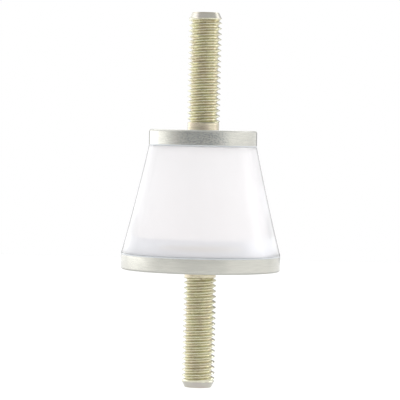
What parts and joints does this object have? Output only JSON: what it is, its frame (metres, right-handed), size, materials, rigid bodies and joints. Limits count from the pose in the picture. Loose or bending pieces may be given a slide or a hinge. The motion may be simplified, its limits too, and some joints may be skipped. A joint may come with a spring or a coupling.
{
  "type": "bobbin anti-vibration mount",
  "caption": "Anti-vibration mount: a translucent silicone cone moulded between a small and a wide round steel plate, with a threaded stud standing out of each plate on one axis.",
  "frame": {"origin": "centre of the wide lower plate's outer face, where the lower stud leaves it", "axes": "+Z along both studs, from the wide lower plate towards the small upper plate; the part is round about Z"},
  "size_m": [0.0292, 0.0292, 0.0687],
  "materials": {
    "zinc_plate": "blanked steel, clear zinc plated, satin",
    "zinc_stud": "rolled steel, zinc plated with a pale yellow passivation, bright",
    "silicone": "moulded translucent milky silicone, smooth and slightly glossy"
  },
  "bodies": {
    "root": {"bottom_plate": "zinc_plate", "top_plate": "zinc_plate", "silicone_body": "silicone", "bottom_stud": "zinc_stud", "top_stud": "zinc_stud"}
  },
  "joints": []
}
